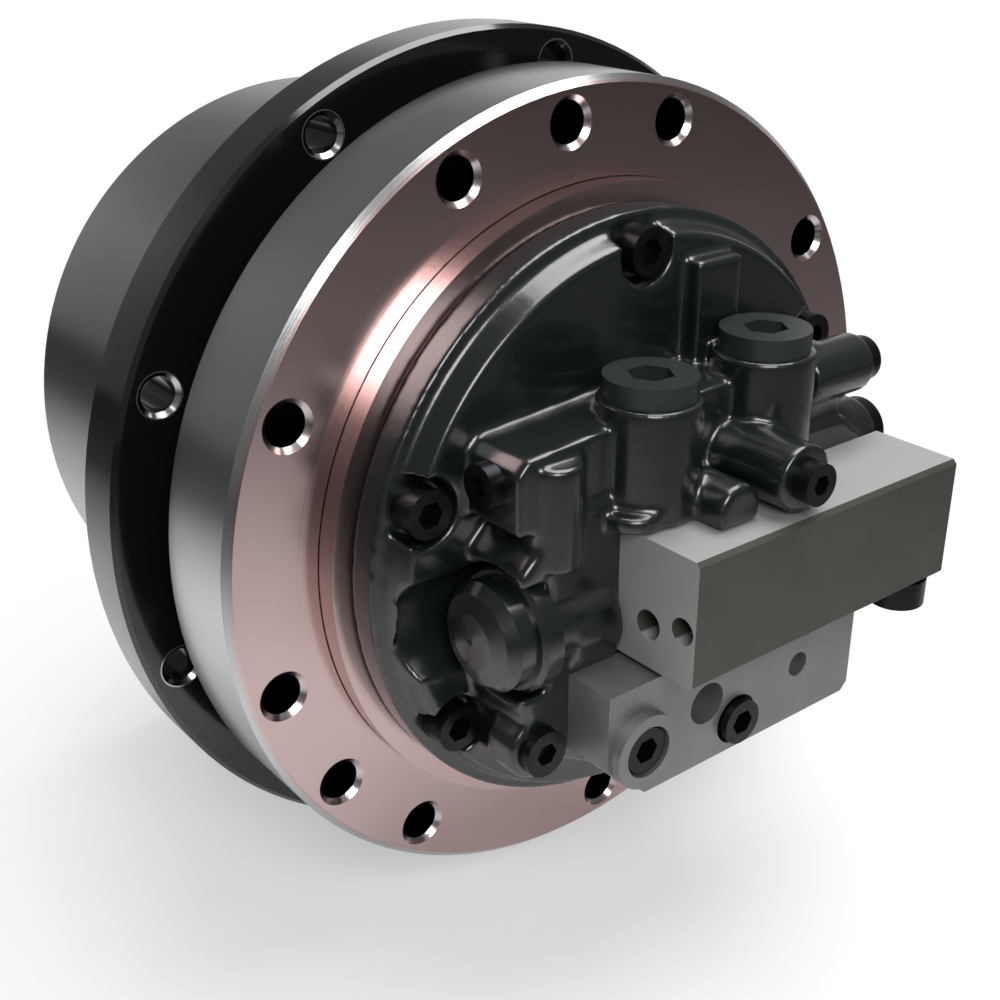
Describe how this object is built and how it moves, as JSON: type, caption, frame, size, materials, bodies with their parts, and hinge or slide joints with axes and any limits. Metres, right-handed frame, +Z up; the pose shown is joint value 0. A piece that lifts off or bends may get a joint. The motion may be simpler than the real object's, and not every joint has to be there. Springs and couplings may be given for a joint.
{
  "type": "excavator final drive",
  "caption": "Final drive with a hydraulic travel motor inside a fixed spindle: round frame flange, black sprocket flange, planetary gear drum and a rear valve block.",
  "frame": {"origin": "centre of the frame flange's face, which bolts to the track frame", "axes": "+Y along the turning axis from the motor towards the gear drum, +Z up, +X to the right seen from the motor end"},
  "size_m": [0.311, 0.287, 0.311],
  "materials": {
    "flange_steel": "machined, slightly rosy",
    "black_cast": "gloss black paint on cast iron",
    "drum_steel": "machined and oiled",
    "block_steel": "dark phosphated steel",
    "plate_steel": "bare milled steel",
    "screw_black": "black oxide",
    "bearing_steel": "ground",
    "gear_steel": "hardened",
    "rubber_black": "moulded",
    "bronze": "sintered"
  },
  "bodies": {
    "housing": {"spindle": "flange_steel", "frame_flange": "flange_steel", "bearing_inner_race": "bearing_steel", "bearing_nut": "bearing_steel", "seal_ring_fixed": "bearing_steel", "seal_rubber_fixed": "rubber_black", "second_planet_pins": "bearing_steel", "second_pin_plate": "gear_steel", "shaft_bearing_races": "bearing_steel", "shaft_seal": "rubber_black", "swash_plate": "gear_steel", "cylinder_block": "gear_steel", "pistons": "bearing_steel", "slippers": "bronze", "retainer_plate": "gear_steel", "block_spring": "bearing_steel", "ball_guide": "gear_steel", "valve_plate": "bronze", "friction_discs": "bronze", "separator_discs": "gear_steel", "brake_stop_ring": "gear_steel", "brake_springs": "bearing_steel", "rear_cover": "black_cast", "port_block": "block_steel", "port_block_dowels": "bearing_steel", "foot_plate": "plate_steel", "foot_plate_screws": "screw_black", "spool_cap_left": "black_cast", "spool_plugs": "screw_black", "relief_valves": "screw_black", "valve_plugs": "screw_black", "cover_screws": "screw_black"},
    "hub": {"hub": "black_cast", "sprocket_flange": "black_cast", "gear_drum": "drum_steel", "end_cover": "drum_steel", "thrust_pad": "bronze", "bearing_outer_race": "bearing_steel", "seal_ring_turning": "bearing_steel", "seal_rubber_turning": "rubber_black", "drum_screws": "screw_black", "end_cover_screws": "screw_black", "oil_plugs": "screw_black"},
    "roller_set": {"bearing_rollers": "bearing_steel", "roller_cage": "bronze"},
    "carrier": {"carrier": "gear_steel", "first_planet_pins": "bearing_steel", "second_sun_gear": "gear_steel"},
    "shaft": {"drive_shaft": "gear_steel", "first_sun_gear": "gear_steel", "shaft_bearing_cone": "bearing_steel"},
    "brake_piston": {"brake_piston": "gear_steel"},
    "counterbalance_spool": {"counterbalance_spool": "bearing_steel"},
    "speed_spool": {"speed_spool": "bearing_steel"},
    "second_planet_a": {"second_planet_a": "gear_steel"},
    "first_planet_a": {"first_planet_a": "gear_steel"},
    "second_planet_b": {"second_planet_b": "gear_steel"},
    "first_planet_b": {"first_planet_b": "gear_steel"},
    "second_planet_c": {"second_planet_c": "gear_steel"},
    "first_planet_c": {"first_planet_c": "gear_steel"}
  },
  "joints": [
    {"name": "hub_spin", "type": "hinge", "parent": "housing", "child": "hub", "pos_m": [0, 0, 0], "axis": [0, 1, 0], "continuous": true},
    {"name": "roller_spin", "type": "hinge", "parent": "housing", "child": "roller_set", "pos_m": [0, 0.085, 0], "axis": [0, 1, 0], "continuous": true},
    {"name": "carrier_spin", "type": "hinge", "parent": "housing", "child": "carrier", "pos_m": [0, 0.148, 0], "axis": [0, 1, 0], "continuous": true},
    {"name": "shaft_spin", "type": "hinge", "parent": "housing", "child": "shaft", "pos_m": [0, 0, 0], "axis": [0, 1, 0], "continuous": true},
    {"name": "second_planet_a_spin", "type": "hinge", "parent": "housing", "child": "second_planet_a", "pos_m": [0, 0.128, 0.0594], "axis": [0, 1, 0], "continuous": true},
    {"name": "first_planet_a_spin", "type": "hinge", "parent": "carrier", "child": "first_planet_a", "pos_m": [0, 0.163, 0.0594], "axis": [0, 1, 0], "continuous": true},
    {"name": "second_planet_b_spin", "type": "hinge", "parent": "housing", "child": "second_planet_b", "pos_m": [-0.05144, 0.128, -0.0297], "axis": [0, 1, 0], "continuous": true},
    {"name": "first_planet_b_spin", "type": "hinge", "parent": "carrier", "child": "first_planet_b", "pos_m": [-0.05144, 0.163, -0.0297], "axis": [0, 1, 0], "continuous": true},
    {"name": "second_planet_c_spin", "type": "hinge", "parent": "housing", "child": "second_planet_c", "pos_m": [0.05144, 0.128, -0.0297], "axis": [0, 1, 0], "continuous": true},
    {"name": "first_planet_c_spin", "type": "hinge", "parent": "carrier", "child": "first_planet_c", "pos_m": [0.05144, 0.163, -0.0297], "axis": [0, 1, 0], "continuous": true},
    {"name": "brake_release", "type": "slide", "parent": "housing", "child": "brake_piston", "axis": [0, -1, 0], "range_m": [0, 0.0012], "stiffness_N_per_m": 5000, "springref_m": -0.003},
    {"name": "counterbalance_slide", "type": "slide", "parent": "housing", "child": "counterbalance_spool", "axis": [1, 0, 0], "range_m": [-0.006, 0.006], "stiffness_N_per_m": 500},
    {"name": "speed_slide", "type": "slide", "parent": "housing", "child": "speed_spool", "axis": [1, 0, 0], "range_m": [-0.005, 0], "stiffness_N_per_m": 300}
  ],
  "couplings": [
    {"joint": "roller_spin", "follows": "hub_spin", "ratio": 0.52882},
    {"joint": "carrier_spin", "follows": "hub_spin", "ratio": -4.5},
    {"joint": "shaft_spin", "follows": "hub_spin", "ratio": -29.25},
    {"joint": "second_planet_a_spin", "follows": "hub_spin", "ratio": 2.5714},
    {"joint": "first_planet_a_spin", "follows": "hub_spin", "ratio": 14.143},
    {"joint": "second_planet_b_spin", "follows": "hub_spin", "ratio": 2.5714},
    {"joint": "first_planet_b_spin", "follows": "hub_spin", "ratio": 14.143},
    {"joint": "second_planet_c_spin", "follows": "hub_spin", "ratio": 2.5714},
    {"joint": "first_planet_c_spin", "follows": "hub_spin", "ratio": 14.143}
  ]
}
